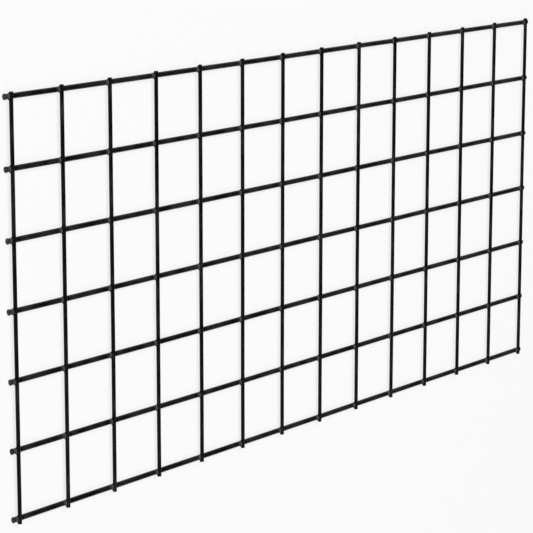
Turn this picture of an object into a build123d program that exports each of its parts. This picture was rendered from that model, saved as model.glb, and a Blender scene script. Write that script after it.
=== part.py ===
from build123d import *
import os

# A flat panel of welded wire mesh. Long line wires lie side by side on the
# ground plane, and shorter cross wires lie across them and are welded to each
# one they cross. Millimetres. X runs along the line wires, Y along the cross
# wires, and Z up from the underside of the line wires. The origin is at the
# middle of the panel, on that underside.

# Mesh layout
cross_wire_pitch = 50.0      # from one cross wire to the next, along X
line_wire_pitch = 50.0       # from one line wire to the next, along Y
cross_wire_count = 14
line_wire_count = 7

# Wires, measured over their coating
line_wire_diameter = 4.0
cross_wire_diameter = 3.0
line_wire_overhang = 5.0     # past the centre of the outermost cross wire
cross_wire_overhang = 3.5    # past the centre of the outermost line wire
line_end_bevel = 0.45        # rounding of a sheared and coated end
cross_end_bevel = 0.35
wire_sides = 12              # flats round a wire, an even number

# Welds
weld_set_down = 1.5          # how deep a cross wire is pressed into a line wire

# Sizes that follow from the ones above
line_wire_length = (cross_wire_count - 1) * cross_wire_pitch + 2 * line_wire_overhang
cross_wire_length = (line_wire_count - 1) * line_wire_pitch + 2 * cross_wire_overhang
line_wire_axis_height = line_wire_diameter / 2
cross_wire_axis_height = line_wire_diameter - weld_set_down + cross_wire_diameter / 2


def wire(start, direction, diameter, length, bevel):
    """A straight wire with flats, one of them underneath, and bevelled ends.

    It starts at the point start and runs for its length along direction. The
    profile is a regular polygon drawn round the wire's own circle, so the
    diameter is the distance between two opposite flats.
    """
    across = Vector(0, 0, 1).cross(Vector(*direction))
    profile_plane = Plane(origin=start, x_dir=across, z_dir=direction)
    flat_underneath = -90 - 180 / wire_sides
    profile = RegularPolygon(
        radius=diameter / 2,
        side_count=wire_sides,
        major_radius=False,
        rotation=flat_underneath,
    )
    bar = extrude(profile_plane * profile, amount=length)
    ends = bar.faces().filter_by(Plane(origin=start, z_dir=direction))
    return chamfer(ends.edges(), length=bevel)


def row(count, pitch):
    """Places of a row of wires, spaced evenly about zero."""
    return [(number - (count - 1) / 2) * pitch for number in range(count)]


def line_wires():
    """The long wires, which lie on the ground plane along X."""
    return [
        wire(
            (-line_wire_length / 2, y, line_wire_axis_height),
            (1, 0, 0),
            line_wire_diameter,
            line_wire_length,
            line_end_bevel,
        )
        for y in row(line_wire_count, line_wire_pitch)
    ]


def cross_wires():
    """The short wires, which lie along Y, set down into the line wires."""
    return [
        wire(
            (x, -cross_wire_length / 2, cross_wire_axis_height),
            (0, 1, 0),
            cross_wire_diameter,
            cross_wire_length,
            cross_end_bevel,
        )
        for x in row(cross_wire_count, cross_wire_pitch)
    ]


def mesh_panel():
    """All the wires, fused at every crossing into one welded piece."""
    first, *others = line_wires() + cross_wires()
    return first.fuse(*others)


os.makedirs("parts", exist_ok=True)
panel = mesh_panel()
panel.label = "mesh_panel"
export_step(panel, "parts/mesh_panel.step")
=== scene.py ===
import math

import bpy
import numpy as np
from mathutils import Matrix, Vector


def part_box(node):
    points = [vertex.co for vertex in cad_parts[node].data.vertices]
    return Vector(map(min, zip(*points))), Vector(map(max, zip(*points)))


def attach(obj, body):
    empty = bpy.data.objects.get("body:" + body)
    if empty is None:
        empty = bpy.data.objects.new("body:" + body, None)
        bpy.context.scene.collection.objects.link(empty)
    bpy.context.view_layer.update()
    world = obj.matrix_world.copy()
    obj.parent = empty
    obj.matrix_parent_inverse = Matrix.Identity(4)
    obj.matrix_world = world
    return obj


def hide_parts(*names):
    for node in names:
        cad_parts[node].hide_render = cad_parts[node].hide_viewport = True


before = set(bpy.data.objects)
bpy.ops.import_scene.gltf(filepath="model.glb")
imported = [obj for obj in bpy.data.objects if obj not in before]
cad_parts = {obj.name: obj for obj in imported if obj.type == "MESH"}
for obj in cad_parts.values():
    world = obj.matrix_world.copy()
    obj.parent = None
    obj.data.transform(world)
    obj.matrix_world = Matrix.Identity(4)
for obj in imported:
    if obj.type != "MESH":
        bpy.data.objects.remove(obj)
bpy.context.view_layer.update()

# Looks of a flat welded wire mesh panel with a black powder coat.
# Everything is in metres, in the frame of the solids, and mm turns millimetres into it.

mm = 0.001
panelLow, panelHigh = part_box("mesh_panel")
panelSize = panelHigh - panelLow


# The layout that all the pieces share. The box of the solid gives its lengths and heights.

panelLayout = {
    "lineCount": 7,
    "crossCount": 14,
    "pitch": 50 * mm,
    "lineRadius": 2.0 * mm,        # over the coat, as for the cross wires
    "crossRadius": 1.5 * mm,
}
lineCount = panelLayout["lineCount"]
crossCount = panelLayout["crossCount"]
lineRadius = panelLayout["lineRadius"]
crossRadius = panelLayout["crossRadius"]
lineAxisZ = panelLow.z + lineRadius
crossAxisZ = panelHigh.z - crossRadius
lineYs = (np.arange(lineCount) - (lineCount - 1) / 2) * panelLayout["pitch"]
crossXs = (np.arange(crossCount) - (crossCount - 1) / 2) * panelLayout["pitch"]
panelReach = tuple(round(v, 4) for v in panelSize)
print("layout:", lineCount, "line wires and", crossCount, "cross wires on", panelReach)


# Meshes

def makeMesh(name, points, faces, paintedLightAndPaleEnds=None):
    # a smooth-shaded piece at the origin, with its place in its points
    mesh = bpy.data.meshes.new(name)
    mesh.from_pydata(points.tolist(), [], faces)
    mesh.polygons.foreach_set("use_smooth", np.ones(len(mesh.polygons), dtype=bool))
    if paintedLightAndPaleEnds is not None:
        # above zero the surface is drawn greyer, as painted highlights beside the welds and as paler end
        # faces, and below zero blacker, as painted shade
        layer = mesh.attributes.new("paintedLightAndPaleEnds", "FLOAT", "POINT")
        layer.data.foreach_set("value", paintedLightAndPaleEnds.astype(np.float32).ravel())
    mesh.update()
    piece = bpy.data.objects.new(name, mesh)
    bpy.context.scene.collection.objects.link(piece)
    return piece


def gridFaces(rows, columns, wrapRows, start=0):
    # four corners of each cell of a grid that closes round its columns, and round its rows if asked
    rowCount = rows if wrapRows else rows - 1
    row, column = np.meshgrid(np.arange(rowCount), np.arange(columns), indexing="ij")
    nextRow = (row + 1) % rows
    nextColumn = (column + 1) % columns
    corners = np.stack([
        row * columns + column,
        nextRow * columns + column,
        nextRow * columns + nextColumn,
        row * columns + nextColumn,
    ], axis=-1)
    return (corners.reshape(-1, 4) + start).tolist()


def softBump(distance, reach):
    # one at distance 0, falling along half a cosine wave to zero at reach
    return 0.5 + 0.5 * np.cos(np.pi * np.clip(np.abs(distance) / reach, 0, 1))


driftForm = {
    "amount": 0.12 * mm,           # how far a wire strays from a straight line
    "waves": (430 * mm, 190 * mm, 83 * mm),
    "shares": (0.55, 0.3, 0.15),   # of the amount, one for each wave
}


def drift(places, seed):
    # a slow sideways stray of a wire: sines of unlike lengths, with seeded phases, added up by their shares
    waves = np.array(driftForm["waves"])
    phases = np.random.default_rng(seed).uniform(0, 2 * np.pi, len(waves))
    sines = np.sin(2 * np.pi * places[..., None] / waves + phases)
    return driftForm["amount"] * (sines * driftForm["shares"]).sum(axis=-1)


wireForm = {
    "sides": 24,
    "stationStep": 4 * mm,         # between rings on a plain stretch
    "weldSteps": 0.55 * mm,        # between rings beside a weld
    "weldReach": 5.5 * mm,         # how far the close rings go each side of a weld
    "weldGap": 1.1,                # plain rings keep this many weldReach away from it
    "endGap": 1.6,                 # and this many endRound away from an end
    "coatDip": 0.03 * mm,          # how much thinner the coat is in places
    "dipMiddle": 0.5,              # the share of that which is there on average
    "dipWaves": (                  # share of it, length along the wire and turns round it
        (0.2, 31 * mm, 2),
        (0.15, 17.3 * mm, -3),
        (0.15, 7.1 * mm, 1),
    ),
    "endRound": 0.22 * mm,         # the coat rounds off the sheared end
    "endTurns": (0, 22, 45, 67, 90),     # degrees, one for each ring over that rounding
    "faceRings": (0.66, 0.33),     # rings of the end's flat face, as shares of its radius
    "endSlant": 0.07,              # slope of a sheared end, at most
    "endSlantLeast": 0.3,          # the least of that, as a share
    "endPinch": 0.07,              # share of its height that an end loses to the blade
    "endSpread": 0.16,             # share of its width that it gains there
    "pinchReach": 2.2 * mm,
    "endPale": 0.16,               # how much paler grey the face is drawn, at most
    "endPaleLeast": 0.1,           # the least of that, as a share
    "imprintDepth": 0.16 * mm,     # the flat that a welding electrode leaves
    "imprintReach": 3.6 * mm,
}

# the tone numbers: above zero a painted highlight, drawn greyer, and below zero painted shade, drawn
# blacker
lineWire = {
    "seed": 10,
    "driftSeed": 100,
    "flatSide": -1,                # the electrode's flat is underneath, and the welds are on top
    "plain": 0.0,                  # away from the welds
    "paintedGlint": 0.18,                   # painted highlight beside a weld, on its side towards -X, drawn greyer
    "glintOffset": -2.8 * mm,        # from the middle of the weld to where the painted highlight is brightest
    "glintReach": 2.6 * mm,
    "paintedShadow": -0.25,                  # painted shadow of the cross wire beside a weld, on its side towards +X, drawn blacker
    "shadowOffset": 3.2 * mm,
    "shadowReach": 2.4 * mm,
}

crossWire = {
    **lineWire,
    "seed": 50,
    "driftSeed": 200,
    "flatSide": 1,                 # the flat is on top, and the welds are underneath
    "plain": -0.1,                 # painted shade: a cross wire is drawn blacker all along than a line wire
    "paintedGlint": 0.0,
    "paintedShadow": 0.0,
}


def lineDrift(number, x):
    return drift(x, lineWire["driftSeed"] + number)


def crossDrift(number, y):
    return drift(y, crossWire["driftSeed"] + number)


def wireStations(halfLength, weldPlaces):
    # places of the rings along a wire: even steps, closer beside each weld
    form = wireForm
    plain = np.arange(-halfLength, halfLength, form["stationStep"])
    steps = np.arange(-form["weldReach"], form["weldReach"] + form["weldSteps"] / 2, form["weldSteps"])
    close = (np.asarray(weldPlaces)[:, None] + steps).ravel()
    apart = np.abs(plain[:, None] - np.asarray(weldPlaces)).min(axis=1)
    places = np.sort(np.concatenate([plain[apart > form["weldReach"] * form["weldGap"]], close]))
    inside = halfLength - form["endRound"] * form["endGap"]
    return places[np.abs(places) < inside]


def wirePoints(kind, number, radius, halfLength, weldPlaces):
    # a circle carried along the wire: u runs along it and over its rounded ends, v round it
    # along: the station, and at an end half the length less endRound times one minus the sine of its turn
    # radius: the wire's less the coat's dips, and at an end less endRound times one minus the cosine
    form = wireForm
    flatSide = kind["flatSide"]
    random = np.random.default_rng(kind["seed"] + number)
    middle = wireStations(halfLength, weldPlaces)
    turn = np.radians(form["endTurns"])
    roundAlong = halfLength - form["endRound"] * (1 - np.sin(turn))
    roundRadius = radius - form["endRound"] * (1 - np.cos(turn))
    faceRadius = (radius - form["endRound"]) * np.array(form["faceRings"])
    faceAlong = np.full(len(faceRadius), halfLength)
    endAlong = np.concatenate([roundAlong, faceAlong])
    endRadius = np.concatenate([roundRadius, faceRadius])
    along = np.concatenate([-endAlong[::-1], middle, endAlong])
    ring = np.concatenate([endRadius[::-1], np.full(len(middle), radius), endRadius])
    u, v = np.meshgrid(along, np.arange(form["sides"]) * 2 * np.pi / form["sides"], indexing="ij")
    # tone: a painted highlight on one side of each weld and a painted shadow on the other, on the side of
    # the wire with the welds, added to its plain tone
    fromWeld = u[:, :, None] - np.asarray(weldPlaces)
    paintedGlint = softBump(fromWeld - kind["glintOffset"], kind["glintReach"]).max(axis=-1)
    paintedShadow = softBump(fromWeld - kind["shadowOffset"], kind["shadowReach"]).max(axis=-1)
    weldSide = np.clip(0.5 - flatSide * np.sin(v), 0, 1)
    toneShift = kind["plain"] + weldSide * (kind["paintedGlint"] * paintedGlint + kind["paintedShadow"] * paintedShadow)
    # dips of the coat: sines that wind round the wire, with seeded phases
    dip = form["dipMiddle"]
    phases = random.uniform(0, 2 * np.pi, len(form["dipWaves"]))
    for (share, length, turns), phase in zip(form["dipWaves"], phases):
        dip = dip + share * np.sin(2 * np.pi * u / length + turns * v + phase)
    bar = ring[:, None] - form["coatDip"] * dip
    side = bar * np.cos(v)
    up = bar * np.sin(v)
    # electrode flats: near a weld the height is held under a limit
    near = softBump(fromWeld, form["imprintReach"]).max(axis=-1)
    limit = radius - form["imprintDepth"] * near
    up = np.where(up * flatSide > limit, limit * flatSide, up)
    # sheared ends: pinched and spread by the blade, with a face that leans
    fromEnd = halfLength - np.abs(u)
    pinch = softBump(fromEnd, form["pinchReach"])
    up = up * (1 - form["endPinch"] * pinch)
    side = side * (1 + form["endSpread"] * pinch)
    slants = random.uniform(form["endSlantLeast"], 1, 2) * random.choice([-1, 1], 2) * form["endSlant"]
    slant = np.where(u > 0, slants[1], slants[0])
    # the paler grey of their faces: blended in by the cube of the turn, and unlike from end to end
    facePales = random.uniform(form["endPaleLeast"], 1, 2) * form["endPale"]
    paleShare = np.where(u > 0, facePales[1], facePales[0])
    faceShare = np.append((turn / turn[-1]) ** 3, np.ones(len(faceRadius)))
    endShare = np.concatenate([faceShare[::-1], np.zeros(len(middle)), faceShare])[:, None]
    toneShift = toneShift + endShare * (paleShare - toneShift)
    # the lean of the face, which fades out over twice the rounding
    leanShare = softBump(fromEnd, form["endRound"] * 2)
    u = u + leanShare * (slant * up - np.sign(u) * (np.abs(slant) * radius))
    return u, side, up, toneShift


def wirePiece(name, surface, place):
    # surface is what wirePoints gives, and place turns it into points of the frame
    # each end closes on a pole, the mean of its last ring
    along, side, up, toneShift = surface
    rows, columns = along.shape
    points = place(along, side, up).reshape(-1, 3)
    first = points[:columns].mean(axis=0)
    last = points[-columns:].mean(axis=0)
    faces = gridFaces(rows, columns, wrapRows=False)
    around = np.arange(columns)
    nextAround = (around + 1) % columns
    lastRing = (rows - 1) * columns
    firstPole = np.full(columns, rows * columns)
    lastPole = firstPole + 1
    faces += np.stack([firstPole, around, nextAround], axis=1).tolist()
    faces += np.stack([lastPole, lastRing + nextAround, lastRing + around], axis=1).tolist()
    paintedLightAndPaleEnds = np.append(toneShift.ravel(), [toneShift[0].mean(), toneShift[-1].mean()])
    return makeMesh(name, np.vstack([points, first, last]), faces, paintedLightAndPaleEnds)


def makeLineWires():
    # long heavy wires along X, on the floor
    halfLength = panelSize.x / 2
    pieces = []
    for number, y in enumerate(lineYs):
        def place(along, side, up, number=number, y=y):
            return np.stack([along, y + lineDrift(number, along) - side, lineAxisZ + up], axis=-1)
        surface = wirePoints(lineWire, number, lineRadius, halfLength, crossXs)
        pieces.append(wirePiece(f"lineWire_{number + 1:02d}", surface, place))
    print("line wires:", len(pieces))
    return pieces


def makeCrossWires():
    # short light wires along Y, pressed into the line wires
    halfLength = panelSize.y / 2
    pieces = []
    for number, x in enumerate(crossXs):
        def place(along, side, up, number=number, x=x):
            return np.stack([x + crossDrift(number, along) + side, along, crossAxisZ + up], axis=-1)
        surface = wirePoints(crossWire, number, crossRadius, halfLength, lineYs)
        pieces.append(wirePiece(f"crossWire_{number + 1:02d}", surface, place))
    print("cross wires:", len(pieces))
    return pieces


weldForm = {
    "seed": 1000,
    "around": 24,                  # steps round a weld
    "across": 7,                   # rows from the line wire to the cross wire
    "fillet": 1.1 * mm,            # radius of the hollow between the two wires
    "bulge": 0.22 * mm,            # metal squeezed out into that hollow, where it is highest
    "lumpMiddle": 0.55,            # the share of that which is there on average
    "lumpWaves": ((0.25, 3), (0.2, 5)),     # share of it, and how many waves round the weld
    "sink": 0.16 * mm,             # how far its two rims lie under the wires' surface
    "root": 0.45 * mm,             # how far behind the hollow its hidden side lies
    "paleShare": 0.5,                   # painted highlight: how far the hollow is drawn towards grey, on the weld's -X side
    "collarGlintLeast": 0.55,             # the least of that where the weld metal is low, as a share
    "paintedShadow": -0.25,                  # painted shadow on the weld's +X side, drawn blacker
    "collarGlintMiddle": 0.28,            # where the painted highlight is brightest, as a share of the way to the cross wire
    "collarGlintReach": 0.42,
}


def weldCollarPoints(seed):
    # a ball of the fillet's radius rolls round the crossing and touches both wires, so its centre stays
    # radius + fillet from each wire's axis, at a height that is a cosine of twice the angle
    # the collar is the arc between its two touching points, with rows that crowd towards both,
    # and one hidden row behind the middle of that arc
    form = weldForm
    ball = form["fillet"]
    outerLine = lineRadius + ball
    outerCross = crossRadius + ball
    lift = crossAxisZ - lineAxisZ
    lowest = lift - outerCross
    angle = np.arange(form["around"]) * 2 * np.pi / form["around"]
    z = (outerLine + lowest) / 2 + (outerLine - lowest) / 2 * np.cos(2 * angle)
    x = np.sign(np.cos(angle)) * np.sqrt(np.clip(outerCross ** 2 - (z - lift) ** 2, 0, None))
    y = np.sign(np.sin(angle)) * np.sqrt(np.clip(outerLine ** 2 - z ** 2, 0, None))
    centre = np.stack([x, y, z], axis=-1)
    toLine = np.stack([0 * x, -y, -z], axis=-1) / outerLine
    toCross = np.stack([-x, 0 * y, lift - z], axis=-1) / outerCross
    opening = np.arccos(np.clip((toLine * toCross).sum(axis=-1), -1, 1))[:, None, None]
    share = 0.5 - 0.5 * np.cos(np.linspace(0, np.pi, form["across"]))[None, :, None]
    turned = (
        np.sin((1 - share) * opening) * toLine[:, None]
        + np.sin(share * opening) * toCross[:, None]
    ) / np.sin(opening)
    lumps = form["lumpMiddle"]
    phases = np.random.default_rng(seed).uniform(0, 2 * np.pi, len(form["lumpWaves"]))
    for (height, waves), phase in zip(form["lumpWaves"], phases):
        lumps = lumps + height * np.sin(waves * angle + phase)
    swell = (form["bulge"] * lumps)[:, None, None] * np.sin(np.pi * share)
    sunk = np.where((share == 0) | (share == 1), form["sink"], 0)
    visible = centre[:, None] + (ball - swell + sunk) * turned
    behind = (toLine + toCross) / np.linalg.norm(toLine + toCross, axis=1, keepdims=True)
    hidden = centre[:, None] + (ball + form["root"]) * behind[:, None]
    # painted highlight: the hollow on the weld's -X side is drawn greyer, most where the weld metal is
    # high; painted shadow: its +X side is drawn blacker
    hollow = softBump(share[0, :, 0] - form["collarGlintMiddle"], form["collarGlintReach"])
    lumpy = form["collarGlintLeast"] + (1 - form["collarGlintLeast"]) * lumps
    paintedGlint = (0.5 - 0.5 * np.cos(angle))[:, None]
    toneShift = paintedGlint * form["paleShare"] * hollow * lumpy[:, None] + (1 - paintedGlint) * form["paintedShadow"]
    toneShift = np.pad(toneShift, ((0, 0), (0, 1)))     # the hidden row is left at zero, with no painted light or shade
    return np.concatenate([visible, hidden], axis=1), toneShift


def makeWeldCollars():
    # all the welds in one piece, each a closed ring about its own crossing
    blocks, toneShifts, faces = [], [], []
    for lineNumber, y in enumerate(lineYs):
        for crossNumber, x in enumerate(crossXs):
            ring, toneShift = weldCollarPoints(weldForm["seed"] + lineNumber * crossCount + crossNumber)
            rows, columns = ring.shape[:2]
            faces += gridFaces(rows, columns, wrapRows=True, start=len(blocks) * rows * columns)
            middle = [
                x + crossDrift(crossNumber, np.array(y)),
                y + lineDrift(lineNumber, np.array(x)),
                lineAxisZ,
            ]
            blocks.append(ring.reshape(-1, 3) + middle)
            toneShifts.append(toneShift)
    print("weld collars:", len(blocks))
    return makeMesh("weldCollars", np.vstack(blocks), faces, np.stack(toneShifts))


# Materials

def linearColour(hexColour):
    # an sRGB hex colour as linear red, green, blue and alpha
    channels = np.array([int(hexColour[i:i + 2], 16) for i in (1, 3, 5)]) / 255
    linear = np.where(channels <= 0.04045, channels / 12.92, ((channels + 0.055) / 1.055) ** 2.4)
    return (*linear.tolist(), 1.0)


def addNode(tree, kind, settings, links=None):
    # a node with its settings, by socket or by property, and what feeds its sockets, by name or number
    node = tree.nodes.new(kind)
    for name, value in settings.items():
        if name in node.inputs:
            node.inputs[name].default_value = value
        else:
            setattr(node, name, value)
    for name, source in (links or {}).items():
        tree.links.new(source, node.inputs[name])
    return node


powderCoat = {
    "deep": "#040404",
    "pale": "#1d1d1e",
    "paleGrey": "#77787a",            # the grey of the painted highlights by the welds and of the paler end faces
    "ior": 1.5,
    "specular": 0.13,
    "mottle": 14 * mm,             # size of the slow changes in coat thickness
    "mottleDetail": 4.0,
    "mottleRoughness": 0.55,
    "mottleSpread": (0.38, 0.62),  # the part of the pattern that runs from deep to pale
    "roughSpread": (0.3, 0.7),     # the part that runs from the glossiest coat to the dullest
    "roughness": (0.24, 0.44),
    "orangePeel": 1.1 * mm,        # the real peel is about 0.5 mm, drawn coarser so that it shows
    "peelDetail": 2.0,
    "peelRoughness": 0.5,
    "peelDepth": 0.05 * mm,
}


def blackPowderCoat():
    # thermosetting polyester powder, sprayed on steel wire and baked: satin black, with a faint orange
    # peel and slow changes of tone; painted shade makes the cross wires and one side of each weld blacker,
    # painted highlights make the other side greyer, and the end faces are paler
    settings = powderCoat
    material = bpy.data.materials.new("blackPowderCoat")
    material.use_nodes = True
    tree = material.node_tree
    tree.nodes.clear()
    place = addNode(tree, "ShaderNodeTexCoord", {})
    mottle = addNode(tree, "ShaderNodeTexNoise", {
        "Scale": 1 / settings["mottle"],
        "Detail": settings["mottleDetail"],
        "Roughness": settings["mottleRoughness"],
    }, {"Vector": place.outputs["Object"]})
    # the tone attribute carries the painted highlights and shade and the paler end faces: it moves the
    # mottle along the ramp and mixes in grey
    toneShift = addNode(tree, "ShaderNodeAttribute", {"attribute_name": "paintedLightAndPaleEnds"})
    tone = addNode(tree, "ShaderNodeMath", {"operation": "ADD"}, {
        0: mottle.outputs["Fac"], 1: toneShift.outputs["Fac"],
    })
    colour = addNode(tree, "ShaderNodeValToRGB", {}, {"Fac": tone.outputs[0]})
    stops = zip(colour.color_ramp.elements, settings["mottleSpread"], ("deep", "pale"))
    for stop, position, shade in stops:
        stop.position = position
        stop.color = linearColour(settings[shade])
    rough = addNode(tree, "ShaderNodeMapRange", {
        "From Min": settings["roughSpread"][0],
        "From Max": settings["roughSpread"][1],
        "To Min": settings["roughness"][0],
        "To Max": settings["roughness"][1],
    }, {"Value": mottle.outputs["Fac"]})
    peel = addNode(tree, "ShaderNodeTexNoise", {
        "Scale": 1 / settings["orangePeel"],
        "Detail": settings["peelDetail"],
        "Roughness": settings["peelRoughness"],
    }, {"Vector": place.outputs["Object"]})
    bump = addNode(tree, "ShaderNodeBump", {
        "Strength": 1.0, "Distance": settings["peelDepth"],
    }, {"Height": peel.outputs["Fac"]})
    paleMix = addNode(tree, "ShaderNodeMixRGB", {"Color2": linearColour(settings["paleGrey"])}, {
        "Fac": toneShift.outputs["Fac"], "Color1": colour.outputs["Color"],
    })
    shader = addNode(tree, "ShaderNodeBsdfPrincipled", {
        "IOR": settings["ior"],
        "Specular IOR Level": settings["specular"],
    }, {
        "Base Color": paleMix.outputs["Color"],
        "Roughness": rough.outputs["Result"],
        "Normal": bump.outputs["Normal"],
    })
    addNode(tree, "ShaderNodeOutputMaterial", {}, {"Surface": shader.outputs["BSDF"]})
    print("material: black powder coat")
    return material


# Floor, light and camera

studio = {
    "paper": "#fbfbfb",
    "hubRadius": 1 * mm,           # a small disc closes the floor at its middle
    "flatRadius": 8.0,             # the floor is level this far out
    "rimRadius": 1.6,              # then it curves up
    "rimHeight": 2.6,
    "bendSteps": 10,
    "sweepSides": 96,
    "shadowShare": 0.15,           # how much of the paper's look takes the shadow
    "whiteLevel": 0.975,           # how white the rest looks
    "skyColour": "#ffffff",
    "skyStrength": 0.12,
    "lights": {                    # watts, width and height, place
        "softboxBehind": (160.0, (2.5, 2.5), (-1.0, 2.4, 3.2)),
        "softboxBefore": (80.0, (2.5, 2.5), (-0.8, -2.6, 3.0)),
    },
}


def seenDirectly(tree):
    # one for camera, glossy and transmission rays, else zero
    path = addNode(tree, "ShaderNodeLightPath", {})
    seen = addNode(tree, "ShaderNodeMath", {"operation": "ADD"}, {
        0: path.outputs["Is Camera Ray"], 1: path.outputs["Is Glossy Ray"],
    })
    through = addNode(tree, "ShaderNodeMath", {"operation": "ADD", "use_clamp": True}, {
        0: seen.outputs[0], 1: path.outputs["Is Transmission Ray"],
    })
    return through.outputs[0]


def paperSweep():
    # matt white studio paper: part plain diffuse, so that it keeps the shadow, and part white to the camera
    material = bpy.data.materials.new("studioPaper")
    material.use_nodes = True
    tree = material.node_tree
    tree.nodes.clear()
    colour = linearColour(studio["paper"])
    diffuse = addNode(tree, "ShaderNodeBsdfDiffuse", {"Color": colour})
    white = addNode(tree, "ShaderNodeEmission", {"Color": colour, "Strength": studio["whiteLevel"]})
    share = addNode(tree, "ShaderNodeMath", {"operation": "MULTIPLY"}, {0: seenDirectly(tree)})
    share.inputs[1].default_value = 1 - studio["shadowShare"]
    mixed = addNode(tree, "ShaderNodeMixShader", {}, {
        "Fac": share.outputs[0], 1: diffuse.outputs[0], 2: white.outputs[0],
    })
    addNode(tree, "ShaderNodeOutputMaterial", {}, {"Surface": mixed.outputs[0]})
    # a profile turned about Z: level to flatRadius, a quarter circle up, then straight to rimHeight
    flat, rim = studio["flatRadius"], studio["rimRadius"]
    bend = np.radians(np.linspace(0, 90, studio["bendSteps"]))
    radii = np.concatenate([[studio["hubRadius"]], flat + rim * np.sin(bend), [flat + rim]])
    heights = np.concatenate([[0], rim * (1 - np.cos(bend)), [studio["rimHeight"]]])
    columns = studio["sweepSides"]
    turn = np.arange(columns) * 2 * np.pi / columns
    points = np.stack([
        radii[:, None] * np.cos(turn),
        radii[:, None] * np.sin(turn),
        np.repeat(heights[:, None], columns, axis=1),
    ], axis=-1).reshape(-1, 3)
    hub = [list(range(columns))]
    sweep = makeMesh("studioSweep", points, gridFaces(len(radii), columns, wrapRows=False) + hub)
    sweep.data.materials.append(material)
    print("floor: paper sweep")


def paleSky():
    # an even white sky, much dimmer than the lamps
    world = bpy.data.worlds.new("paleSky")
    bpy.context.scene.world = world
    world.use_nodes = True
    tree = world.node_tree
    tree.nodes.clear()
    sky = addNode(tree, "ShaderNodeBackground", {
        "Color": linearColour(studio["skyColour"]), "Strength": studio["skyStrength"],
    })
    addNode(tree, "ShaderNodeOutputWorld", {}, {"Surface": sky.outputs[0]})
    print("sky: strength", studio["skyStrength"])


def softLight(name, watts, size, position):
    # a softbox that faces the middle of the panel
    lamp = bpy.data.lights.new(name, "AREA")
    lamp.energy = watts
    lamp.shape = "RECTANGLE"
    lamp.size, lamp.size_y = size
    light = bpy.data.objects.new(name, lamp)
    light.location = position
    light.rotation_mode = "QUATERNION"
    light.rotation_quaternion = (-Vector(position)).to_track_quat("-Z", "Y")
    bpy.context.scene.collection.objects.link(light)
    print("light:", name, watts, "W")


cameraView = {
    "aim": (-42.8 * mm, -13.4 * mm, 2.0 * mm),   # where the lens axis meets the line wires
    "distance": 1868.0 * mm,
    "azimuth": 255.33,             # degrees, as are elevation and roll
    "elevation": 37.52,
    "roll": -99.11,
    "lens": 160.6,                 # millimetres, as is the sensor's width
    "sensor": 36,
    "farClip": 100,                # metres
}


def makeCamera():
    # level and rise are the camera's right and up without roll, and up and right are the rolled ones
    view = cameraView
    azimuth, elevation, roll = (math.radians(view[k]) for k in ("azimuth", "elevation", "roll"))
    back = Vector((
        math.sin(azimuth) * math.cos(elevation),
        -math.cos(azimuth) * math.cos(elevation),
        math.sin(elevation),
    ))
    level = Vector((math.cos(azimuth), math.sin(azimuth), 0))
    rise = back.cross(level)
    up = math.cos(roll) * rise + math.sin(roll) * level
    right = up.cross(back)
    data = bpy.data.cameras.new("photoCamera")
    data.sensor_width = view["sensor"]
    data.lens = view["lens"]
    data.clip_end = view["farClip"]
    camera = bpy.data.objects.new("photoCamera", data)
    turned = Matrix((right, up, back)).transposed().to_4x4()
    camera.matrix_world = Matrix.Translation(Vector(view["aim"]) + back * view["distance"]) @ turned
    bpy.context.scene.collection.objects.link(camera)
    bpy.context.scene.camera = camera
    print("camera: lens", view["lens"], "mm")


# Put together

coat = blackPowderCoat()
panelPieces = [*makeLineWires(), *makeCrossWires(), makeWeldCollars()]
for piece in panelPieces:
    piece.data.materials.append(coat)
    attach(piece, "root")
    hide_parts("mesh_panel")
paperSweep()
paleSky()
for name, (watts, size, position) in studio["lights"].items():
    softLight(name, watts, size, position)
makeCamera()
bpy.context.scene.view_settings.view_transform = "Standard"
